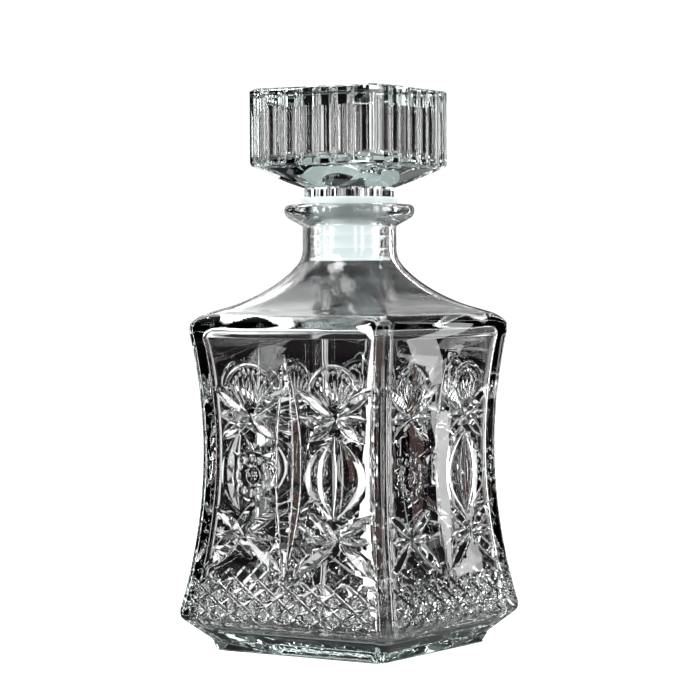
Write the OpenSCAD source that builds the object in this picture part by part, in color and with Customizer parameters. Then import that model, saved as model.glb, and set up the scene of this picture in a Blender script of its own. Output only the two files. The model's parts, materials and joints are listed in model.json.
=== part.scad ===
// Square decanter in cut glass: waisted bottle, fluted hollow stopper, ribbed plastic sleeve.
// Origin: middle of the foot's underside. +Z points up, out of the neck. Millimetres.

/* [Body] */
// Width across two flat sides at the waist, where the body is narrowest
waist_w = 90; // [78:1:110]
// Height of the waist above the table
waist_z = 82.5; // [74:0.5:90]
// Radius of the long hollow sweep of each side
side_r = 305; // [250:5:400]
// Height at which the side stops flaring and turns up into the shoulder band
band_z = 130.5; // [120:0.5:138]
// Height of the plain upright band under the shoulder
band_h = 3; // [1:0.5:5]
// Height of the widest edge, low on the body
skirt_z = 16; // [14:0.5:22]
// Width of the foot that the bottle stands on
foot_w = 82.4; // [70:0.4:92]
// Height of the foot's edge, up to where the underside of the skirt flares out
foot_h = 4.7; // [3:0.1:6]
// How far the foot's edge leans out over that height
foot_lean = 1.5; // [0:0.1:3]
// Radius that rounds the four upright corners
corner_r = 5; // [3:0.5:8]
// Thickness of the glass in the sides
wall = 5; // [4:0.25:7]
// Thickness of the glass in the base
base_t = 10; // [8:0.5:16]

/* [Neck and lip] */
// Length of the straight neck, between the shoulder's sweep and the lip's taper
neck_l = 9.5; // [3:0.5:27]
// Bore of the neck, which the sleeve plugs
bore_d = 32.8; // [28:0.2:38]
// Thickness of the glass in the neck
neck_wall = 3; // [2:0.1:6]
// How far the rolled lip stands out past the neck
lip_out = 7.5; // [5:0.1:12]
// Height of the lip's upright rim
lip_h = 4.6; // [3.5:0.2:7]
// Height over which the lip tapers under to the neck
lip_taper = 4.2; // [3:0.2:7]
// Height over which the shoulder sweeps up into the neck
cove_h = 31; // [26:1:38]

/* [Cut decoration] */
// Length of the long leaf cut down the middle of each side
leaf_l = 90; // [70:1:96]
// Width of that leaf cut
leaf_w = 10; // [7:0.5:12]
// Depth of that leaf cut
leaf_d = 1.8; // [1:0.1:2.2]
// Distance of each panel's middle line from the middle of the side
panel_x = 22; // [20:0.5:24]
// Height of the middle of the oval and the star
panel_z = 73; // [68:1:78]
// Height of the pointed oval cut
oval_l = 33; // [26:1:36]
// Width of the pointed oval cut
oval_w = 28; // [18:1:30]
// Depth of the pointed oval cut
oval_d = 2; // [1:0.1:2.4]

/* [Stopper] */
// Width of the stopper's square head across the flats
head_w = 62.8; // [54:0.2:72]
// Height of the fluted part of the head
head_h = 31.4; // [24:0.1:36]
// Width of the facet on each upright corner of the head
head_facet = 6; // [4:0.5:8]
// Height of the tapered underside of the head
under_h = 8.9; // [6:0.1:14]
// How far the glass collar that sits on the sleeve stays inside the flange's edge
collar_in = 1.3; // [0.5:0.1:3]
// Height of that collar
collar_h = 3.9; // [1.5:0.1:5]
// Thickness of the glass round the hollow of the head
head_wall = 5; // [4:0.25:7]
// Thickness of the glass above the hollow
crown_t = 7.6; // [5:0.1:10]
// Thickness of the glass above the hollow's corners, which reach up higher
crown_rim = 3; // [2:0.1:5]
// Diameter of the stem inside the sleeve
stem_d = 20.6; // [16:0.2:21.4]
// Bore of the hollow stem
stem_bore = 12; // [8:0.5:13]
// Number of flutes on each side of the head
flute_n = 6; // [3:1:7]
// Distance from one flute to the next
flute_pitch = 8; // [5:0.1:8.2]
// Width of one flute
flute_w = 4; // [2:0.1:4.8]
// How far the row of flutes sits to one side of the middle
flute_shift = 1.5; // [0:0.1:2]
// Depth of one flute
flute_d = 1.1; // [0.5:0.1:1.5]
// Plain margin between the flutes and the top edge
flute_rim = 1.3; // [1:0.1:4]
// Angle at which the stopper has been set down on the bottle
head_turn = 4; // [0:1:45]

/* [Sleeve] */
// Thickness of the flange that rests on the lip
flange_t = 3; // [2:0.1:5]
// How far that flange reaches out over the lip, past the bore
flange_out = 3.5; // [2:0.1:5]
// Depth that the sleeve reaches below the lip's top
sleeve_l = 24; // [22:0.2:28]
// Depth of the plain plug at the top of the sleeve
plug_h = 7.8; // [6:0.2:9]
// Thickness of the sleeve's wall round the stem
sleeve_t = 2; // [1.5:0.1:2.6]
// Number of ribs below the plug
rib_n = 2; // [1:1:3]
// Distance from one rib to the next
rib_pitch = 5.1; // [4:0.1:6]
// Height of a rib, from its flat top to where it meets the sleeve
rib_h = 3.4; // [2:0.1:4]
// Thickness of the disc at the foot of the sleeve
disc_t = 0.9; // [0.6:0.1:1.4]
// Radial clearance of each turning or sliding fit
fit = 0.05; // [0.02:0.01:0.1]

/* [Hidden] */
$fn = 96;
eps = 0.01;
far = 400;                       // reach of cutting tools, past any face
over = 1;                        // how far a cut runs on past the face it opens
side_n = 720;                    // fineness of the long hollow sweeps
wheel_n = 360;                   // fineness of the wheels' arcs
small_n = 48;                    // fineness of small round cuts
arc_n = 4;                       // straight pieces in a rounded edge
cove_n = 10;                     // straight pieces in the shoulder's sweep
glass_tint = [0.80, 0.86, 0.85, 0.45];
sleeve_tint = [0.93, 0.97, 0.97];

foot_half = foot_w / 2;
toe_half = foot_half + foot_lean;
skirt_half = side_at(skirt_z);
band_half = side_at(band_z);
band_top = band_z + band_h;
cove_top = band_top + cove_h;
lip_base = cove_top + neck_l;
mouth_z = lip_base + lip_taper + lip_h;
edge_up = 6;                     // rise of the rounded shoulder edge, band to sweep
edge_in = 5.4;                   // how far that edge comes in, and its radius
edge_lean = 3.2;                 // height over which the band starts to lean in
cove_low = [-10, 3.1];           // pull of the sweep at the shoulder's edge
cove_up = 8.6;                   // pull of the sweep at the neck
cove_inner = 12;                 // the same pull inside
neck_h = 5;                      // height of neck that is already round below the sweep's end
edge_r = 1.2;                    // small rounding of foot and head edges
lip_round = 2;                   // rounding of the lip's two edges
skirt_r = 4;                     // rounding of the widest edge
leaf_low = 5;                    // height of the leaf's middle below the waist
bore_r = bore_d / 2;
neck_r = bore_r + neck_wall;
lip_r = neck_r + lip_out;

flange_z = mouth_z + flange_t;   // top of the flange, where the stopper's collar rests
under_z = flange_z + collar_h;
head_z = under_z + under_h;
top_z = head_z + head_h;
head_half = head_w / 2;
flange_r = bore_r + flange_out;
collar_r = flange_r - collar_in;
flute_low = 1.5;                 // height of the flutes' round ends above the head's lower edge
hollow_low = 3;                  // height of the hollow's floor at its walls, above the same edge
hollow_cone = 6;                 // drop of that floor to the stem
hollow_r = 3;                    // rounding between floor and walls
rim_w = 2.5;                     // width of each step up to the hollow's corners
stem_r = stem_d / 2;
sleeve_bottom = mouth_z - sleeve_l;
sleeve_r = stem_r + fit + sleeve_t;
rib_r = bore_r - fit;
rib_edge = 0.4;                  // height of a rib's upright edge

// half width of the body at height z, from the arc of its hollow side
function side_at(z) = waist_w / 2 + side_r - sqrt(side_r * side_r - pow(z - waist_z, 2));

function unit(v) = v / norm(v);

// points of an arc that rounds corner b, between its neighbours a and c
function rounded(a, b, c, r) =
    let (
        u = unit(a - b),
        v = unit(c - b),
        half = acos(u * v) / 2,
        mid = b + unit(u + v) * r / sin(half),
        from = b + u * r / tan(half) - mid,
        to = b + v * r / tan(half) - mid,
        start = atan2(from.y, from.x),
        turn = (atan2(to.y, to.x) - start + 540) % 360 - 180
    )
    [for (i = [0 : arc_n]) mid + r * [cos(start + turn * i / arc_n), sin(start + turn * i / arc_n)]];

// cubic curve through four guide points
function sweep(a, b, c, d) =
    [for (i = [0 : cove_n])
        let (t = i / cove_n, s = 1 - t)
        s * s * s * a + 3 * s * s * t * b + 3 * s * t * t * c + t * t * t * d];

// right half of the body's outline, from the foot up to the neck
function body_outline() =
    let (
        skirt = [skirt_half, skirt_z - skirt_r / 2],
        toe = [toe_half, foot_h],
        sole = [foot_half, 0],
        edge = [band_half - edge_in, band_top + edge_up]
    )
    concat(
        [[0, 0]],
        rounded([0, 0], sole, toe, edge_r),
        rounded(sole, toe, skirt, edge_r),
        rounded(toe, skirt, [skirt_half, band_z], skirt_r),
        rounded([band_half, band_z], [band_half, band_top + edge_lean], edge, edge_in),
        sweep(edge, edge + cove_low, [neck_r, cove_top - cove_up], [neck_r, cove_top]),
        [[0, cove_top]]
    );

// outline of the corners, which stand out further than the sides and turn round towards the neck
function corners_of(outline) =
    [for (p = outline)
        let (
            up = max(0, min(1, (p.y - band_top) / (cove_top - neck_h - band_top))),
            r = min(p.x, corner_r + (p.x - corner_r) * up)
        )
        [sqrt(2) * (p.x - r) + r, p.y]];

module both_ways(outline) {
    intersection_for (turn = [0, 90])
        rotate([90, 0, turn])
            linear_extrude(far, center = true)
                for (side = [0, 1])
                    mirror([side, 0])
                        polygon(outline);
}

// block with the same outline across both widths, its corners trimmed round the axis
module four_sided(outline) {
    intersection() {
        both_ways(outline);
        rotate_extrude() polygon(corners_of(outline));
    }
}

// the four long hollows of the sides and of the corners, to be cut away
module side_hollows(thinner = 0) {
    corner_in = (sqrt(2) - 1) * corner_r;
    for (turn = [0 : 90 : 270])
        rotate(turn) {
            translate([waist_w / 2 + side_r, 0, waist_z])
                rotate([90, 0, 0])
                    cylinder(r = side_r + thinner, h = far, center = true, $fn = side_n);
            rotate(45)
                translate([waist_w / sqrt(2) - corner_in + side_r / sqrt(2), 0, waist_z])
                    rotate([90, 0, 0])
                        cylinder(r = side_r / sqrt(2) + thinner, h = far, center = true, $fn = side_n);
        }
}

module neck_and_lip() {
    top_edge = [lip_r, mouth_z];
    low_edge = [lip_r, mouth_z - lip_h];
    root = [neck_r, lip_base];
    rotate_extrude()
        polygon(concat(
            [[0, cove_top - eps], [neck_r, cove_top - eps], root],
            rounded(root, low_edge, top_edge, lip_round),
            rounded(low_edge, top_edge, [bore_r, mouth_z], lip_round),
            [[0, mouth_z]]
        ));
}

// the space that holds the drink
module inside() {
    side = band_half - wall;
    low = [skirt_half - wall, base_t];
    high = [side - edge_in, band_top + edge_up - wall];
    outline = concat(
        [[0, base_t]],
        rounded([0, base_t], low, [low.x, band_z], wall),
        rounded([side, band_z], [side, high.y - edge_lean], high, edge_in),
        sweep(high, high + cove_low, [bore_r, cove_top - cove_inner], [bore_r, cove_top]),
        [[0, cove_top]]
    );
    difference() {
        four_sided(outline);
        side_hollows(thinner = wall);
    }
    translate([0, 0, cove_top - over])
        cylinder(r = bore_r, h = mouth_z - cove_top + 2 * over);
}

// radius of an upright arc that cuts to this depth and runs out over this length of a hollow side
function bow(length, depth) = 1 / (2 * (4 * depth / (length * length) + 1 / (2 * side_r)));

// V-shaped leaf, as the edge of a wheel cuts it
module leaf_cut(length, width, depth) {
    wheel = bow(length, depth);
    reach = wheel / 4;
    translate([waist_w / 2 + wheel - depth, 0, 0])
        for (side = [-90, 90])
            rotate([side, 0, 0])
                cylinder(r1 = wheel, r2 = wheel - reach * 2 * depth / width, h = reach, $fn = wheel_n);
}

// round-bottomed oval that comes to a point at both ends
module oval_cut(length, width, depth) {
    girth = (width * width / 4 + depth * depth) / (2 * depth);
    arc = bow(length, depth);
    translate([waist_w / 2 + girth - depth, 0, 0])
        rotate_extrude($fn = small_n)
            intersection() {
                translate([girth - arc, 0]) circle(r = arc, $fn = wheel_n);
                translate([0, -far / 2]) square([girth, far]);
            }
}

module side_cuts() {
    for (turn = [0 : 90 : 270])
        rotate(turn) {
            translate([0, 0, waist_z - leaf_low])
                leaf_cut(leaf_l, leaf_w, leaf_d);
            translate([0, panel_x, panel_z])
                oval_cut(oval_l, oval_w, oval_d);
        }
}

module bottle() {
    color(glass_tint)
        difference() {
            union() {
                difference() {
                    four_sided(body_outline());
                    side_hollows();
                }
                neck_and_lip();
            }
            inside();
            side_cuts();
        }
}

// right half of the head's outline; how = 1 across the flats, or more towards the corners
function head_outline(how, reach) =
    let (
        tip = [collar_r, under_z],
        low = [head_half * how - reach, head_z],
        high = [head_half * how - reach, top_z]
    )
    concat(
        [[0, under_z], tip],
        rounded(tip, low, high, edge_r * 2),
        rounded(low, high, [0, top_z], edge_r),
        [[0, top_z]]
    );

module head_flutes() {
    radius = (flute_w * flute_w / 4 + flute_d * flute_d) / (2 * flute_d);
    for (turn = [0 : 90 : 270], i = [0 : flute_n - 1])
        rotate(turn)
            translate([
                head_half + radius - flute_d,
                (i - (flute_n - 1) / 2) * flute_pitch - flute_shift,
                head_z + flute_low
            ]) {
                cylinder(r = radius, h = head_h - flute_rim - flute_low, $fn = small_n);
                sphere(r = radius, $fn = small_n);
            }
}

// the blown hollow of the head and stem; its corners reach higher than its ceiling
module head_hollow() {
    half = head_half - head_wall - flute_d;
    stem_half = stem_bore / 2;
    low = head_z + hollow_low;
    ceiling = top_z - crown_t;
    roof = top_z - crown_rim;
    rim = half * sqrt(2);
    intersection() {
        both_ways(concat(
            [[0, low - hollow_cone], [stem_half, low - hollow_cone]],
            rounded([stem_half, low - hollow_cone], [half, low], [half, roof], hollow_r),
            [[half, roof], [0, roof]]
        ));
        rotate_extrude()
            polygon([
                [0, low - hollow_cone], [stem_half, low - hollow_cone], [rim, low], [rim, roof],
                [rim - rim_w, (ceiling + roof) / 2], [rim - 3 * rim_w, ceiling], [0, ceiling]
            ]);
    }
    translate([0, 0, sleeve_bottom - over])
        cylinder(d = stem_bore, h = low - sleeve_bottom);
}

module stopper() {
    facet_in = head_facet / 2;
    color(glass_tint)
        rotate(head_turn)
            difference() {
                union() {
                    intersection() {
                        both_ways(head_outline(1, 0));
                        rotate(45) both_ways(head_outline(sqrt(2), facet_in));
                        rotate_extrude()
                            polygon([
                                [0, under_z], [collar_r, under_z], [head_half * sqrt(2), head_z],
                                [head_half * sqrt(2), top_z + over], [0, top_z + over]
                            ]);
                    }
                    translate([0, 0, flange_z])
                        cylinder(r = collar_r, h = collar_h + eps);
                    translate([0, 0, sleeve_bottom])
                        cylinder(r = stem_r, h = sleeve_l + flange_t + eps);
                }
                head_flutes();
                head_hollow();
            }
}

// a rib: flat on top, its underside curving in to the sleeve
function rib(z) =
    [for (i = [0 : arc_n])
        let (a = 90 * i / arc_n)
        [rib_r - (rib_r - sleeve_r) * sin(a), z - rib_edge - (rib_h - rib_edge) * (1 - cos(a))]];

module seal() {
    plug_z = mouth_z - plug_h;
    bore = stem_r + fit;
    color(sleeve_tint)
        rotate_extrude()
            polygon(concat(
                [[bore, sleeve_bottom], [rib_r, sleeve_bottom], [rib_r, sleeve_bottom + disc_t]],
                [[sleeve_r, sleeve_bottom + disc_t]],
                [for (i = [rib_n : -1 : 1], j = [arc_n : -1 : -1])
                    let (z = plug_z - i * rib_pitch, curve = rib(z))
                    j < 0 ? [sleeve_r, z] : j == 0 ? [rib_r, z] : curve[j]],
                [for (j = [arc_n : -1 : 0]) rib(plug_z)[j]],
                [[rib_r, mouth_z], [flange_r, mouth_z]],
                rounded([flange_r, mouth_z], [flange_r, flange_z], [bore, flange_z], edge_r / 2),
                [[bore, flange_z]]
            ));
}

bottle();
seal();
stopper();
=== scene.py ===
# %% [markdown]
# # A cut-glass decanter
# The object is a square bottle of heavy glass with a waisted body, a ribbed plastic sleeve in its neck,
# and a fluted square stopper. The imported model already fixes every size. This lesson makes the surfaces
# that the eye looks for: the wheel cuts, the rounded edges, the clear metal of the glass.

# %% Load the frame and note its box
import json
import math
import bpy
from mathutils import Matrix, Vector

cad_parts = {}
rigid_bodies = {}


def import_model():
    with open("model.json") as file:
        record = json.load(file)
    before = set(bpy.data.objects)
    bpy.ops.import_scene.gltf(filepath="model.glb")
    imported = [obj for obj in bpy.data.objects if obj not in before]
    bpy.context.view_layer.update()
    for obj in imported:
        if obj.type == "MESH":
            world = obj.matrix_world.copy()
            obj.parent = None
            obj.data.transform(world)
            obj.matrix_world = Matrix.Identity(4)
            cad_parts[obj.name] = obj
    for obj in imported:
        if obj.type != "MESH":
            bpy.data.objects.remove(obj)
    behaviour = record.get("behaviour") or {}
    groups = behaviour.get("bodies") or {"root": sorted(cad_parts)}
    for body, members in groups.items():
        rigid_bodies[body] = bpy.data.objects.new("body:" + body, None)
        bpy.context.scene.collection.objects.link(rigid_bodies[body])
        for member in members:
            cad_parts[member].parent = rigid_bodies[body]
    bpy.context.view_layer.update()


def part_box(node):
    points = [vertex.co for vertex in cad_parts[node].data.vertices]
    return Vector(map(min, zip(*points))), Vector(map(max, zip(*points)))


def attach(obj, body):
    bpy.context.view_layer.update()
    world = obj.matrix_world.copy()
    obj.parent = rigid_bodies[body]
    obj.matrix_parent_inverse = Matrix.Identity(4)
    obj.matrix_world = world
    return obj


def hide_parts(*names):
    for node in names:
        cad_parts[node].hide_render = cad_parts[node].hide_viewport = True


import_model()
bottle_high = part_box("bottle")[1]
MM = 0.001

# %% [markdown]
# Everything below is measured in millimetres and turned into Blender's metres at the last moment, when a
# mesh is made. A maker's drawing is in millimetres too, so the numbers stay readable.

# %% Sizes of the bottle
MOUTH_Z = bottle_high[2] / MM
WAIST_HALF = 45.0
WAIST_Z = 82.5
SIDE_R = 305.0
BAND_Z, BAND_H = 130.5, 3.0
SKIRT_Z = 16.0
FOOT_HALF, TOE_HALF, FOOT_H = 41.2, 42.7, 4.7
CORNER_R = 5.0
WALL, BASE_T = 5.0, 10.0
NECK_R, BORE_R, LIP_R = 19.4, 16.4, 26.9
LIP_H, LIP_TAPER = 4.6, 4.2
COVE_TOP = BAND_Z + BAND_H + 31.0
EDGE_IN, EDGE_UP, EDGE_LEAN = 5.4, 6.0, 3.2
COVE_LOW, COVE_UP = (-10, 3.1), 8.6


def side_half(z):
    """Half width of the body at a height on its hollow side."""
    return WAIST_HALF + SIDE_R - math.sqrt(SIDE_R**2 - (z - WAIST_Z) ** 2)


print("half widths at skirt, waist, band:", [round(side_half(z), 1) for z in (SKIRT_Z, WAIST_Z, BAND_Z)])


# %% [markdown]
# A bottle can be lathe-turned only where it is round. This body is square, so it is lofted: an outline
# runs from the foot up over the lip and down the inside, and each of its points becomes one ring. Each
# ring is a square with rounded corners, and where the radius grows to the half width the square becomes a
# circle, so shoulder and neck are one smooth skin.

# %% [markdown]
# An outline of straight lines would give knife edges, and real glass has none: it is fire-polished, so every
# edge is round. One helper rounds a corner with an arc. The other draws the free sweep of the shoulder from
# four guide points, as a Bezier handle does in the viewport.

# %% Outline helpers: a rounded corner and a free curve
def rounded(before, corner, after, radius, pieces=8):
    """Points of the arc that rounds a corner of an outline."""
    before, corner, after = Vector(before), Vector(corner), Vector(after)
    u = (before - corner).normalized()
    v = (after - corner).normalized()
    half = math.acos(max(-1.0, min(1.0, u.dot(v)))) / 2
    middle = corner + (u + v).normalized() * radius / math.sin(half)
    start = corner + u * radius / math.tan(half) - middle
    end = corner + v * radius / math.tan(half) - middle
    first = math.atan2(start.y, start.x)
    turn = (math.atan2(end.y, end.x) - first + 3 * math.pi) % (2 * math.pi) - math.pi
    angles = [first + turn * i / pieces for i in range(pieces + 1)]
    return [(middle.x + radius * math.cos(a), middle.y + radius * math.sin(a)) for a in angles]


def sweep(a, b, c, d, pieces=24):
    """Points of a cubic curve through four guide points."""
    guides = [Vector(p) for p in (a, b, c, d)]
    points = []
    for i in range(pieces + 1):
        t = i / pieces
        s = 1 - t
        weights = (s**3, 3 * s * s * t, 3 * s * t * t, t**3)
        p = sum((g * w for g, w in zip(guides, weights)), Vector((0, 0)))
        points.append((p.x, p.y))
    return points


def straight(a, b, pieces):
    """Points between two places, without the places themselves."""
    return [(a[0] + (b[0] - a[0]) * i / pieces, a[1] + (b[1] - a[1]) * i / pieces) for i in range(1, pieces)]


# %% Rings and skins
SIDE_PIECES, CORNER_PIECES = 26, 10
FLAT_END = math.atan((WAIST_HALF - CORNER_R) / WAIST_HALF)


def ring_angles():
    """Directions of a ring's points, close together where the corners turn."""
    quarter = []
    for i in range(SIDE_PIECES):
        across = -1 + 2 * i / SIDE_PIECES
        quarter.append(math.atan(across * math.tan(FLAT_END)))
    for i in range(CORNER_PIECES):
        quarter.append(FLAT_END + (math.pi / 2 - 2 * FLAT_END) * i / CORNER_PIECES)
    return [turn * math.pi / 2 + a for turn in range(4) for a in quarter]


def rounded_square(half, radius, z, angles):
    """A ring: a square of this half width whose corners have this radius."""
    radius = min(radius, half)
    centre = math.sqrt(2) * (half - radius)
    points = []
    for angle in angles:
        off = (angle + math.pi / 4) % (math.pi / 2) - math.pi / 4
        if abs(math.tan(off)) * half <= half - radius:
            out = half / math.cos(off)
        else:
            diagonal = math.pi / 4 - abs(off)
            across = centre * math.sin(diagonal)
            out = centre * math.cos(diagonal) + math.sqrt(max(0.0, radius**2 - across**2))
        points.append((out * math.cos(angle), out * math.sin(angle), z))
    return points


def make_object(name, points, faces):
    """A mesh object from points in millimetres."""
    mesh = bpy.data.meshes.new(name)
    mesh.from_pydata([(x * MM, y * MM, z * MM) for x, y, z in points], [], faces)
    mesh.validate()
    obj = bpy.data.objects.new(name, mesh)
    bpy.context.scene.collection.objects.link(obj)
    return obj


def loft(name, rings):
    """A closed skin through rings of equal length, with a flat cap at each end."""
    count = len(rings[0])
    points = [p for ring in rings for p in ring]
    faces = [tuple(reversed(range(count)))]
    for level in range(len(rings) - 1):
        low, high = level * count, (level + 1) * count
        for i in range(count):
            j = (i + 1) % count
            faces.append((low + i, low + j, high + j, high + i))
    last = (len(rings) - 1) * count
    faces.append(tuple(range(last, last + count)))
    return make_object(name, points, faces)


# %% [markdown]
# The outline holds the whole character of the bottle: the narrow foot, the skirt, the long hollow side, the
# rounded shoulder edge, the sweep into the neck and the rolled lip. The inside follows at a wall's
# thickness. It matters as much as the outside, because clear glass shows both skins at once.

# %% The bottle's outline, outside and inside
def body_side(inset, low, high, pieces):
    """The hollow sweep of one side, as it is seen from the front."""
    return [(side_half(low + (high - low) * i / pieces) - inset, low + (high - low) * i / pieces)
            for i in range(pieces + 1)]


def outside_outline():
    """Points from the foot to the lip."""
    skirt = (side_half(SKIRT_Z), SKIRT_Z - 2)
    toe, sole = (TOE_HALF, FOOT_H), (FOOT_HALF, 0.0)
    band = side_half(BAND_Z)
    edge = (band - EDGE_IN, BAND_Z + BAND_H + EDGE_UP)
    root, under = (NECK_R, MOUTH_Z - LIP_H - LIP_TAPER), (LIP_R, MOUTH_Z - LIP_H)
    top, mouth = (LIP_R, MOUTH_Z), (BORE_R, MOUTH_Z)
    skirt_bend = rounded(toe, skirt, (side_half(SKIRT_Z + 8), SKIRT_Z + 8), 3.4)
    return (
        [(FOOT_HALF - 6, 0.0)]
        + rounded((0, 0), sole, toe, 1.2)
        + rounded(sole, toe, skirt, 1.2)
        + straight(toe, skirt, 5)[1:-1]
        + skirt_bend
        + body_side(0, skirt_bend[-1][1] + 1, BAND_Z, 44)
        + rounded((band, BAND_Z), (band, BAND_Z + BAND_H + EDGE_LEAN), edge, EDGE_IN, 12)
        + sweep(edge, (edge[0] + COVE_LOW[0], edge[1] + COVE_LOW[1]),
                (NECK_R, COVE_TOP - COVE_UP), (NECK_R, COVE_TOP))[1:]
        + straight((NECK_R, COVE_TOP), root, 4)
        + rounded((NECK_R, COVE_TOP), root, under, 1.2)
        + rounded(root, under, top, 3.6)
        + rounded(under, top, mouth, 2.3)
        + rounded(top, mouth, (BORE_R, 0), 1.2)
    )


def inside_outline():
    """Points from the bore down to the middle of the inside of the base."""
    band = side_half(BAND_Z) - WALL
    high = (band - EDGE_IN, BAND_Z + BAND_H + EDGE_UP - WALL)
    low = (side_half(SKIRT_Z + 4) - WALL, BASE_T)
    return (
        straight((BORE_R, MOUTH_Z - 1.2), (BORE_R, COVE_TOP), 6)
        + sweep((BORE_R, COVE_TOP), (BORE_R, COVE_TOP - 12),
                (high[0] + COVE_LOW[0], high[1] + COVE_LOW[1]), high)
        + rounded(high, (band, high[1] - EDGE_LEAN), (band, BAND_Z - 20), EDGE_IN)[1:]
        + list(reversed(body_side(WALL, BASE_T + 10, BAND_Z - 6, 30)))
        + rounded((low[0], BAND_Z), low, (0, BASE_T), 7.0, 12)
        + [(24.0, BASE_T + 0.4), (8.0, BASE_T + 0.8)]
    )


def corner_radius(half, z):
    """Corners are tight on the body and turn round towards the neck."""
    up = max(0.0, min(1.0, (z - BAND_Z - BAND_H) / (COVE_TOP - 5 - BAND_Z - BAND_H)))
    return min(half, CORNER_R + (half - CORNER_R) * up)


def bottle_rings():
    """All rings of the bottle in order, out and over the lip and in."""
    angles = ring_angles()
    outline = outside_outline() + inside_outline()
    return [rounded_square(half, corner_radius(half, z), z, angles) for half, z in outline]


blank = loft("bottle_blank", bottle_rings())
print("bottle blank:", len(blank.data.polygons), "faces")


# %% [markdown]
# ## Cutting the pattern
# A cutter presses the glass against a wheel, and each kind of wheel leaves its own mark: a V edge leaves
# a pointed leaf, a round edge leaves an oval. The marks here are made as thin solids on a flat sheet first,
# with u across the side, v up it and h out of it, and then wrapped on to the hollow side. So a cut keeps
# the same depth all along, as on the wheel.

# %% Wrap a flat mark on to one of the four sides
LIFT = 0.3
skirt_curve = [(half, z) for half, z in outside_outline() if FOOT_H < z < BAND_Z and half > TOE_HALF]


def outline_half(v):
    """Half width of the body at a height, round the skirt's edge as well."""
    for (half_a, a), (half_b, b) in zip(skirt_curve, skirt_curve[1:]):
        if a <= v <= b and b > a:
            return half_a + (half_b - half_a) * (v - a) / (b - a)
    return side_half(v)


def on_side(point, turn):
    """A place given across, up and out of the hollow side, in the bottle's own frame."""
    u, v, h = point
    slope = outline_half(v + 0.5) - outline_half(v - 0.5)
    length = math.hypot(1.0, slope)
    x, y, z = u, -(outline_half(v) + h / length), v - h * slope / length
    c, s = (1, 0, -1, 0)[turn], (0, 1, 0, -1)[turn]
    return (x * c - y * s, x * s + y * c, z)


# how far the hand-placed pattern sits off the middle, on each of the four sides
DRIFT = (2.3, -3.8, 2.3, -3.8)


class Marks:
    """A set of separate solids that do not touch, kept as one mesh."""

    def __init__(self):
        self.points, self.faces, self.drifts = [], [], []

    def add(self, points, faces, drifts):
        start = len(self.points)
        self.points += points
        self.drifts += [drifts] * len(points)
        self.faces += [tuple(start + i for i in face) for face in faces]

    def wrapped(self, name):
        """The same marks on all four sides, as one object."""
        points, faces = [], []
        for turn in range(4):
            start = len(points)
            points += [on_side((u + drifts * DRIFT[turn], v, h), turn)
                       for (u, v, h), drifts in zip(self.points, self.drifts)]
            faces += [tuple(start + i for i in face) for face in self.faces]
        return make_object(name, points, faces)


# %% [markdown]
# Three wheels make the long marks. A V wheel leaves a leaf with a sharp valley, a round wheel an oval, and
# a V wheel drawn along at an even depth a channel. Each is a row of cross-sections joined up. A V cut starts
# with a narrow, shallow facet at its edge: polishing eases that edge, and it is what catches a thin line
# of light. A simple V would look like cut paper.

# %% Marks along a line: a V leaf, a round oval, a channel
def along(path, sections):
    """A solid through cross-sections; each is a list of (sideways, out) set on a point of the path."""
    points, faces = [], []
    count = len(sections[0])
    for i, (u, v) in enumerate(path):
        before, after = path[max(0, i - 1)], path[min(len(path) - 1, i + 1)]
        du, dv = after[0] - before[0], after[1] - before[1]
        length = math.hypot(du, dv)
        side = (dv / length, -du / length)
        points += [(u + side[0] * w, v + side[1] * w, h) for w, h in sections[i]]
    faces.append(tuple(range(count)))
    for level in range(len(path) - 1):
        low, high = level * count, (level + 1) * count
        for i in range(count):
            j = (i + 1) % count
            faces.append((low + j, low + i, high + i, high + j))
    last = (len(path) - 1) * count
    faces.append(tuple(reversed(range(last, last + count))))
    return points, faces


EASE, EASE_SLOPE = 0.62, 0.24


def bevelled(half, cut, ease=EASE):
    """Cross-section of a V cut with an eased edge: a narrow shallow facet, then a steep one."""
    ease = min(ease, half * 0.3)
    sunk = min(ease * EASE_SLOPE, cut * 0.4)
    right = [(half - ease, -sunk), (half + LIFT * ease / sunk, LIFT)]
    return [(-w, h) for w, h in reversed(right)] + [(0.0, -cut)] + right


def leaf(a, b, width, depth, pieces=14, ease=EASE):
    """A V cut that is deepest in the middle and comes to a point at both ends."""
    path, sections = [], []
    for i in range(pieces + 1):
        t = -1 + 2 * i / pieces
        share = max(0.02, 1 - t * t)
        path.append((a[0] + (b[0] - a[0]) * (t + 1) / 2, a[1] + (b[1] - a[1]) * (t + 1) / 2))
        sections.append(bevelled(width / 2 * share, depth * share, ease))
    return along(path, sections)


def oval(a, b, width, depth, pieces=20, across=12):
    """A round-bottomed cut, deepest in the middle."""
    path, sections = [], []
    for i in range(pieces + 1):
        t = max(-0.995, min(0.995, -1 + 2 * i / pieces))
        share = 1 - t * t
        cut, half = depth * share, width / 2 * share
        reach = half * math.sqrt((cut + LIFT) / cut)
        path.append((a[0] + (b[0] - a[0]) * (t + 1) / 2, a[1] + (b[1] - a[1]) * (t + 1) / 2))
        steps = [-1 + 2 * j / across for j in range(across + 1)]
        sections.append([(s * reach, -cut + (cut + LIFT) * s * s) for s in steps])
    return along(path, sections)


def channel(path, width, depth):
    """A V cut of even depth along a path, narrow and shallow where it starts and ends."""
    end = bevelled(width / 2 * 0.3, depth * 0.1)
    between = bevelled(width / 2, depth)
    return along(path, [end] + [between] * (len(path) - 2) + [end])


# %% [markdown]
# The round marks are rings about a point. A dimple is shallow like the inside of a spoon and acts as a small
# lens. A stud is the opposite, a little dome left standing in the floor of a pocket.

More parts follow.
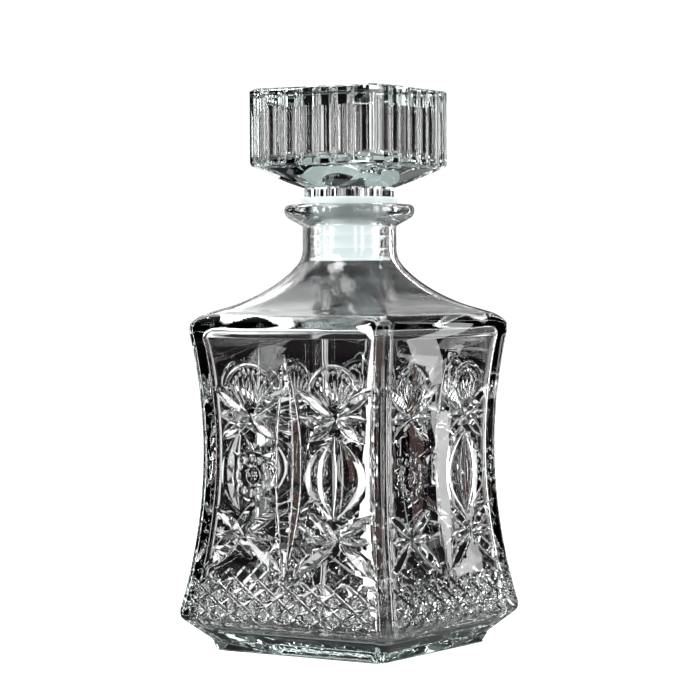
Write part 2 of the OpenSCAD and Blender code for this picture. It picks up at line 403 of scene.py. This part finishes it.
# %% Marks about a point: dimples, pockets and raised studs
def stack(centre, levels, around, first=0.0):
    """A solid of rings about a point of the sheet; each level is (radius, out), from low to high."""
    points, faces = [], []
    for radius, out in levels:
        for i in range(around):
            a = first + 2 * math.pi * i / around
            points.append((centre[0] + radius * math.cos(a), centre[1] + radius * math.sin(a), out))
    faces.append(tuple(reversed(range(around))))
    for level in range(len(levels) - 1):
        low, high = level * around, (level + 1) * around
        for i in range(around):
            j = (i + 1) % around
            faces.append((low + i, low + j, high + j, high + i))
    last = (len(levels) - 1) * around
    faces.append(tuple(range(last, last + around)))
    return points, faces


def dimple(centre, radius, depth, around=14):
    """A hollow like the inside of a spoon, cut down from the surface."""
    levels = [(radius * math.sqrt(share), -depth * (1 - share)) for share in (0.04, 0.2, 0.5, 1.0)]
    return stack(centre, levels + [(radius * 1.25, LIFT)], around)


def stud(centre, radius, floor, top, around=14):
    """A small dome standing on the floor of a pocket."""
    tall = top - floor
    levels = [(radius, floor - 0.4), (radius, floor)]
    levels += [(radius * math.cos(a), floor + tall * math.sin(a)) for a in (0.35, 0.75, 1.1, 1.4)]
    return stack(centre, levels, around)


# %% [markdown]
# The pattern has six motifs, and every side carries the same ones. A long leaf divides it into two panels.
# Each panel has a star above and a star below, each with arms like an X and a leaf to either side. A fan of
# flutes opens out of the upper star. Between the stars sit a hobstar on the left and an oval on the right.
# A band of diamonds goes round the skirt.

# %% Places of the motifs on a side
UPPER_STAR, MIDDLE, LOWER_STAR = 96.5, 72.8, 48.6
PANEL = {UPPER_STAR: 20.6, MIDDLE: 20.2, LOWER_STAR: 22.8}
BAND_LOW, BAND_HIGH = 12.6, 31.6

cuts = {}
raised = {}


def mark(group, solid, where=cuts, drifts=1):
    """Add a solid to a named group of cuts, or of raised parts; drifts is 0 where it stays in the middle."""
    where.setdefault(group, Marks()).add(*solid, drifts)


def ring_of(count, radius, centre, first=0.0):
    """Places evenly round a centre, each with its direction."""
    for i in range(count):
        a = first + 2 * math.pi * i / count
        yield (centre[0] + radius * math.cos(a), centre[1] + radius * math.sin(a)), a


# %% [markdown]
# The long leaf is the first thing cut on such a side, because it divides the work. The arms of each star meet
# at its centre but are kept in separate groups here, since solids in one group must not touch each other
# for the boolean step to stay clean.

# %% Long leaves and stars
mark("long", leaf((0, 31), (0, 122), 12.6, 2.3, 40, 1.0), drifts=0)
ARMS = {
    UPPER_STAR: [(18.5, 12.5, 5.0), (13.5, -9.5, 4.6), (15, 0, 4.4)],
    LOWER_STAR: [(15.5, 11.0, 4.6), (20, -15.0, 5.4), (15.0, -0.5, 4.0)],
}
for height, arms in ARMS.items():
    for panel in (-PANEL[height], PANEL[height]):
        for number, (du, dv, width) in enumerate(arms):
            for side in (-1, 1):
                near = (panel + side * du * 0.02, height + dv * 0.02)
                tip = (panel + side * du, height + dv)
                mark(f"arm{number}{side}", leaf(near, tip, width, 1.3))
print("groups of cuts so far:", sorted(cuts))

# %% [markdown]
# A fan is a comb of short flutes that open upwards from the upper star, with a row of beads round their tips
# and an arch over them. Flat strips of uncut glass stay between the flutes. They look dark between bright
# flutes, so the flutes must not be wide enough to meet.

# %% Fans
for panel in (-PANEL[UPPER_STAR], PANEL[UPPER_STAR]):
    for i in range(7):
        angle = math.radians(-39 + 13 * i)
        near = (panel + 6.0 * math.sin(angle), UPPER_STAR + 6.0 * math.cos(angle))
        tip = (panel + 15.4 * math.sin(angle), UPPER_STAR + 15.4 * math.cos(angle))
        mark(f"flutes{i % 2}", oval(near, tip, 2.3, 0.95, 12, 8))
    dome = (panel, UPPER_STAR + 10.5)
    for i in range(9):
        angle = math.radians(-64 + 16 * i)
        place = (dome[0] + 8.6 * math.sin(angle), dome[1] + 7.8 * math.cos(angle))
        mark("beads", dimple(place, 0.95, 0.6, 12))
    arc = [math.radians(-84 + 6 * i) for i in range(29)]
    arch = [(dome[0] + 11.6 * math.sin(a), dome[1] + 10.6 * math.cos(a)) for a in arc]
    mark("arches", channel(arch, 1.7, 0.7))

# %% [markdown]
# The oval is one large, round-bottomed cut, so it works like a lens and turns the view behind it round.
# The hobstar is the showpiece: a flat button with a rosette, a ring of twelve beads, and twelve points.

# %% Ovals and hobstars
middle_oval = PANEL[MIDDLE]
mark("ovals", oval((middle_oval, MIDDLE - 17.0), (middle_oval, MIDDLE + 17.0), 29.0, 2.1, 28, 24))
hob = (-PANEL[MIDDLE], MIDDLE)
mark("hob", stack(hob, [(3.3, -1.1), (3.7, -1.0), (4.3, 0.0), (4.5, LIFT)], 32))
for place, angle in ring_of(12, 7.1, hob):
    mark("hob", dimple(place, 1.65, 0.9, 14))
for place, angle in ring_of(12, 10.9, hob, math.pi / 12):
    mark("points", stack(place, [(0.05, -1.3), (2.6, 0.0), (3.3, LIFT * 0.7)], 3, angle))
for place, angle in ring_of(6, 1.5, hob):
    mark("eyes", stud(place, 0.5, -1.1, -0.6, 8), raised)
mark("eyes", stud(hob, 0.6, -1.1, -0.5, 8), raised)

# %% [markdown]
# Two sets of slanting channels cross and leave diamonds standing between them. The lower diamonds are
# pressed in with a round button each. The channels zigzag out of the top row, which is why the band has
# pointed edges instead of a straight rim.

# %% The band of diamonds
PITCH_U, PITCH_V = 11.0, 7.1
PHASE = -2.75
ROWS = 5
REACH = WAIST_HALF + 1.0
for way in (-1, 1):
    for i in range(-7, 8):
        path = []
        for k in range(ROWS * 4 + 1):
            u = PHASE + i * PITCH_U + way * k / 4 * PITCH_U / 2
            if abs(u) < REACH:
                path.append((u, BAND_HIGH - k / 4 * PITCH_V / 2))
        if len(path) > 2:
            mark(f"band{way}", channel(path, 2.0, 0.95), drifts=0)
for row in range(2, ROWS):
    for i in range(-4, 6):
        place = (PHASE + (i - (row % 2 == 0) * 0.5) * PITCH_U, BAND_HIGH - row * PITCH_V / 2)
        if abs(place[0]) < REACH - 2:
            mark("buttons", dimple(place, 1.9, 0.8, 20), drifts=0)
            mark("eyes", stud(place, 0.8, -0.9, -0.1, 12), raised, 0)
print("groups of cuts:", sorted(cuts))


# %% [markdown]
# All cuts are taken away in one pass of boolean modifiers, then the studs are joined on. The exact solver
# is slow with this many solids. The manifold solver is quick, and it only asks that every tool is a closed
# solid. Afterwards shading is smooth, but a steep edge stays sharp, and weighted normals keep flat facets
# flat. A bevel modifier could round the edges too, but in a mesh this dense its bevels run into each other.
# Tiny loose slivers stay in the mesh where the lowest channels run out round the skirt's edge.

# %% Cut and raise
SHARP_EDGE = math.radians(34)


def combine(base, tools, operation):
    """Cut tool objects from the base, or join them to it, and clear the tools away."""
    for tool in tools:
        modifier = base.modifiers.new(operation, "BOOLEAN")
        modifier.solver = "MANIFOLD"
        modifier.operation = operation
        modifier.object = tool
    graph = bpy.context.evaluated_depsgraph_get()
    mesh = bpy.data.meshes.new_from_object(base.evaluated_get(graph))
    base.modifiers.clear()
    base.data = mesh
    for tool in tools:
        bpy.data.objects.remove(tool)


combine(blank, [marks.wrapped(name) for name, marks in cuts.items()], "DIFFERENCE")
print("after cutting:", len(blank.data.polygons), "faces")
combine(blank, [marks.wrapped(name) for name, marks in raised.items()], "UNION")
print("after raising:", len(blank.data.polygons), "faces")
blank.name = "cut_bottle"
blank.data.name = "cut_bottle"
blank.data.shade_smooth()
blank.data.set_sharp_from_angle(angle=SHARP_EDGE)
soft = blank.modifiers.new("soft", "WEIGHTED_NORMAL")
soft.keep_sharp = True
soft.weight = 90
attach(blank, "bottle")
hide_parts("bottle")

# %% [markdown]
# ## Finishes
# Glass has no colour of its own on its surface: its look is refraction, reflection, and a slight tint that
# grows with thickness. So the tint is in the volume and the surface is clear, with a very faint
# waviness from pressing. For shadow rays the surface turns clear, so that light can reach the sleeve.
# The sleeve is milky plastic. Milky things scatter light inside, which is slow to compute. Its brightness is
# painted light instead: a glow on top of a plain surface. The painted glow is strong inside the neck, nearly
# gone beside the thick rim as painted shade for the rim's shadow on the sleeve, and weak again in the flange
# on top.

# %% Materials
def glass(name, speckled=False):
    """Clear glass with a cool tint in its thickness; the bottle also has a fine grain above its body."""
    material = bpy.data.materials.new(name)
    material.use_nodes = True
    nodes, links = material.node_tree.nodes, material.node_tree.links
    shader = nodes["Principled BSDF"]
    output = nodes["Material Output"]
    shader.inputs["Transmission Weight"].default_value = 1.0
    shader.inputs["Roughness"].default_value = 0.0
    shader.inputs["IOR"].default_value = 1.54
    place = nodes.new("ShaderNodeTexCoord")
    waves = nodes.new("ShaderNodeTexNoise")
    waves.inputs["Scale"].default_value = 60.0
    waves.inputs["Detail"].default_value = 1.0
    links.new(place.outputs["Object"], waves.inputs["Vector"])
    bump = nodes.new("ShaderNodeBump")
    bump.inputs["Strength"].default_value = 0.008
    bump.inputs["Distance"].default_value = 0.001
    links.new(waves.outputs["Fac"], bump.inputs["Height"])
    links.new(bump.outputs["Normal"], shader.inputs["Normal"])
    if speckled:
        grain = nodes.new("ShaderNodeTexNoise")
        grain.inputs["Scale"].default_value = 900.0
        grain.inputs["Detail"].default_value = 2.0
        height = nodes.new("ShaderNodeSeparateXYZ")
        where = nodes.new("ShaderNodeMapRange")
        where.inputs["From Min"].default_value = (BAND_Z + BAND_H + 2) * MM
        where.inputs["From Max"].default_value = (BAND_Z + BAND_H + 10) * MM
        where.inputs["To Max"].default_value = 0.12
        fine = nodes.new("ShaderNodeBump")
        fine.inputs["Distance"].default_value = 0.0004
        links.new(place.outputs["Object"], grain.inputs["Vector"])
        links.new(place.outputs["Object"], height.inputs["Vector"])
        links.new(height.outputs["Z"], where.inputs["Value"])
        links.new(where.outputs["Result"], fine.inputs["Strength"])
        links.new(grain.outputs["Fac"], fine.inputs["Height"])
        links.new(bump.outputs["Normal"], fine.inputs["Normal"])
        links.new(fine.outputs["Normal"], shader.inputs["Normal"])
    depth = nodes.new("ShaderNodeVolumeAbsorption")
    depth.inputs["Color"].default_value = (0.78, 0.9, 0.87, 1)
    depth.inputs["Density"].default_value = 12.0
    links.new(depth.outputs["Volume"], output.inputs["Volume"])
    path = nodes.new("ShaderNodeLightPath")
    clear = nodes.new("ShaderNodeBsdfTransparent")
    clear.inputs["Color"].default_value = (0.85, 0.88, 0.87, 1)
    mix = nodes.new("ShaderNodeMixShader")
    links.new(path.outputs["Is Shadow Ray"], mix.inputs["Fac"])
    links.new(shader.outputs["BSDF"], mix.inputs[1])
    links.new(clear.outputs["BSDF"], mix.inputs[2])
    links.new(mix.outputs["Shader"], output.inputs["Surface"])
    return material


def plastic(name):
    """Milky plastic with a faint flow mark; its glow is painted light, strong in the neck, with painted shade
    beside the rim.
    """
    material = bpy.data.materials.new(name)
    material.use_nodes = True
    nodes, links = material.node_tree.nodes, material.node_tree.links
    shader = nodes["Principled BSDF"]
    shader.inputs["Roughness"].default_value = 0.35
    place = nodes.new("ShaderNodeTexCoord")
    flow = nodes.new("ShaderNodeTexNoise")
    flow.inputs["Scale"].default_value = 220.0
    tint = nodes.new("ShaderNodeMixRGB")
    tint.inputs["Color1"].default_value = (0.30, 0.33, 0.335, 1)
    tint.inputs["Color2"].default_value = (0.36, 0.39, 0.39, 1)
    links.new(place.outputs["Object"], flow.inputs["Vector"])
    links.new(flow.outputs["Fac"], tint.inputs["Fac"])
    links.new(tint.outputs["Color"], shader.inputs["Base Color"])
    # painted light: emission set by height, a painted glow in the neck and painted shade beside the rim
    height = nodes.new("ShaderNodeSeparateXYZ")
    share = nodes.new("ShaderNodeMapRange")
    share.inputs["From Min"].default_value = (MOUTH_Z - 20) * MM
    share.inputs["From Max"].default_value = (MOUTH_Z + 5) * MM
    glow = nodes.new("ShaderNodeValToRGB")
    glow.color_ramp.elements[0].position = 0.44
    glow.color_ramp.elements[0].color = (0.72, 0.72, 0.72, 1)
    glow.color_ramp.elements[1].position = 0.81
    glow.color_ramp.elements[1].color = (0.22, 0.22, 0.22, 1)
    for position, level in ((0.58, 0.04), (0.78, 0.02)):
        glow.color_ramp.elements.new(position).color = (level, level, level, 1)
    links.new(place.outputs["Object"], height.inputs["Vector"])
    links.new(height.outputs["Z"], share.inputs["Value"])
    links.new(share.outputs["Result"], glow.inputs["Fac"])
    links.new(glow.outputs["Color"], shader.inputs["Emission Strength"])
    shader.inputs["Emission Color"].default_value = (0.88, 0.97, 0.97, 1)
    return material


def dress(start, material):
    """Give every mesh whose name starts so this one material."""
    for item in bpy.data.objects:
        if item.type == "MESH" and item.name.startswith(start):
            item.data.materials.clear()
            item.data.materials.append(material)


dress("cut_bottle", glass("bottle_glass", speckled=True))
dress("stopper", glass("stopper_glass"))
dress("seal", plastic("sleeve_plastic"))
print("materials:", sorted(m.name for m in bpy.data.materials))

# %% [markdown]
# ## Light
# Clear glass shows mostly what stands around it. A studio sets it on white and keeps black cards beside
# it, so that the edges come out dark. The world here does the same: the camera and the floor see white, while
# rays inside the glass see a dark belt, paler above and below. The floor is left out of the glass for
# the same reason.

# %% Stage
bpy.ops.mesh.primitive_plane_add(size=60)
floor = bpy.context.object
floor.name = "floor"
floor.visible_transmission = False
floor.visible_glossy = False
pale = bpy.data.materials.new("pale_floor")
pale.use_nodes = True
pale.node_tree.nodes["Principled BSDF"].inputs["Base Color"].default_value = (1.0, 1.0, 1.0, 1)
pale.node_tree.nodes["Principled BSDF"].inputs["Specular IOR Level"].default_value = 0.0
floor.data.materials.append(pale)

world = bpy.data.worlds.new("studio")
bpy.context.scene.world = world
world.use_nodes = True
nodes, links = world.node_tree.nodes, world.node_tree.links
bright = nodes["Background"]
bright.inputs["Color"].default_value = (1, 1, 1, 1)
bright.inputs["Strength"].default_value = 1.14
dark = nodes.new("ShaderNodeBackground")
heading = nodes.new("ShaderNodeTexCoord")
parts = nodes.new("ShaderNodeSeparateXYZ")
ramp = nodes.new("ShaderNodeValToRGB")
BELT = (0.008, 0.005, 0.007, 1)
ramp.color_ramp.elements[0].position = 0.0
ramp.color_ramp.elements[0].color = (0.22, 0.25, 0.25, 1)
ramp.color_ramp.elements[1].position = 1.0
ramp.color_ramp.elements[1].color = (0.40, 0.42, 0.43, 1)
for position, colour in ((0.28, (0.22, 0.23, 0.23, 1)), (0.40, BELT),
                         (0.66, BELT), (0.82, (0.2, 0.2, 0.21, 1))):
    ramp.color_ramp.elements.new(position).color = colour
lift = nodes.new("ShaderNodeMapRange")
lift.inputs["From Min"].default_value = -1.0
links.new(heading.outputs["Generated"], parts.inputs["Vector"])
links.new(parts.outputs["Z"], lift.inputs["Value"])
links.new(lift.outputs["Result"], ramp.inputs["Fac"])
links.new(ramp.outputs["Color"], dark.inputs["Color"])
path = nodes.new("ShaderNodeLightPath")
either = nodes.new("ShaderNodeMath")
either.operation = "MAXIMUM"
mix = nodes.new("ShaderNodeMixShader")
links.new(path.outputs["Is Camera Ray"], either.inputs[0])
links.new(path.outputs["Is Diffuse Ray"], either.inputs[1])
links.new(either.outputs[0], mix.inputs["Fac"])
links.new(dark.outputs[0], mix.inputs[1])
links.new(bright.outputs[0], mix.inputs[2])
links.new(mix.outputs[0], nodes["World Output"].inputs["Surface"])
bpy.context.scene.view_settings.view_transform = "Standard"

# %% [markdown]
# Narrow upright panels then draw the bright lines. Every facet bends the view by its own angle, so a row of
# strips behind gives each cut its own set of lines. The strips are placed by azimuth, counted from the
# front side. One thin strip in front makes the long highlight near the corner, strips at the sides catch the
# eased edges, and two warm, weak panels give the brown glints.

# %% Panels of light
BEHIND = 213.5
# how far each strip stands from the middle of the back in degrees, its width in metres, and its glow
BACK_STRIPS = [(-31, 0.07, 1.6), (-24, 0.05, 2.2), (8.5, 0.04, 1.7), (13.5, 0.10, 1.05),
               (19, 0.03, 2.4), (25, 0.05, 2.2), (32, 0.07, 1.6)]
RIGHT_STRIPS = [(135, 2.0), (139.5, 3.2), (143, 1.6), (147, 3.6), (151, 2.0)]


def panel_light(name, azimuth, height, distance, width, tall, glow, colour=(1, 1, 1)):
    """A soft panel that faces the bottle; glow is how bright its surface looks."""
    data = bpy.data.lights.new(name, "AREA")
    data.shape = "RECTANGLE"
    data.size, data.size_y = width, tall
    data.energy = glow * math.pi * width * tall
    data.color = colour
    lamp = bpy.data.objects.new(name, data)
    bpy.context.scene.collection.objects.link(lamp)
    a = math.radians(azimuth)
    lamp.location = (distance * math.sin(a), -distance * math.cos(a), height)
    lamp.rotation_euler = (Vector((0, 0, 0.12)) - lamp.location).to_track_quat("-Z", "Y").to_euler()
    lamp.visible_camera = False
    return lamp


for number, (off, width, glow) in enumerate(BACK_STRIPS):
    panel_light(f"back_strip{number}", BEHIND + off, 0.2, 1.5, width, 1.6, glow)
panel_light("warm_back", BEHIND - 12, 0.2, 1.5, 0.2, 0.8, 0.11, (1.0, 0.62, 0.55))
for number, (azimuth, glow) in enumerate(RIGHT_STRIPS):
    panel_light(f"right_strip{number}", azimuth, 0.2, 1.2, 0.024, 1.2, glow)
for number, azimuth in enumerate([48, 66]):
    panel_light(f"corner_strip{number}", azimuth, 0.1, 1.2, 0.12, 0.8, 4)
panel_light("back_top", BEHIND, 0.95, 1.5, 1.2, 0.5, 0.8)
panel_light("shoulder_top", 236, 1.3, 1.15, 1.5, 1.0, 2.3)
panel_light("front_strip", -29.3, 0.15, 0.968, 0.024, 1.4, 26)
panel_light("left_key", -58, 0.2, 1.2, 0.18, 0.9, 12)
panel_light("left_edge", -14, 0.1, 1.2, 0.08, 0.9, 15)
panel_light("right_edge_near", 125, 0.2, 1.2, 0.09, 1.1, 12)
panel_light("right_edge_far", 169, 0.2, 1.2, 0.09, 1.1, 9)
panel_light("front_high", -4, 0.85, 0.9, 0.4, 0.4, 14)
panel_light("right_key", 104, 0.3, 1.2, 0.25, 0.9, 10)
panel_light("overhead", -30, 1.3, 0.4, 0.6, 0.6, 8)
panel_light("warm_low", BEHIND + 30, -0.1, 1.2, 0.4, 0.3, 0.2, (1.0, 0.6, 0.42))

# %% [markdown]
# A long lens at about a metre keeps the upright edges nearly parallel. The camera stands at the height of
# the shoulder, turned to show one side widely and the other narrowly, and is tilted very slightly down.

# %% Camera
AZIMUTH, DISTANCE, EYE = math.radians(33.5), 1.114, 0.15005
TILT, ROLL = math.radians(90 - 1.404), math.radians(-0.28)
camera_data = bpy.data.cameras.new("camera")
camera_data.sensor_width = 36
camera_data.lens = 138.4
camera = bpy.data.objects.new("camera", camera_data)
bpy.context.scene.collection.objects.link(camera)
camera.location = (DISTANCE * math.sin(AZIMUTH), -DISTANCE * math.cos(AZIMUTH), EYE)
camera.rotation_euler = (TILT, 0, AZIMUTH)
camera.rotation_euler.rotate_axis("Z", ROLL)
bpy.context.scene.camera = camera
print("camera lens in mm:", camera_data.lens, "distance in m:", DISTANCE)
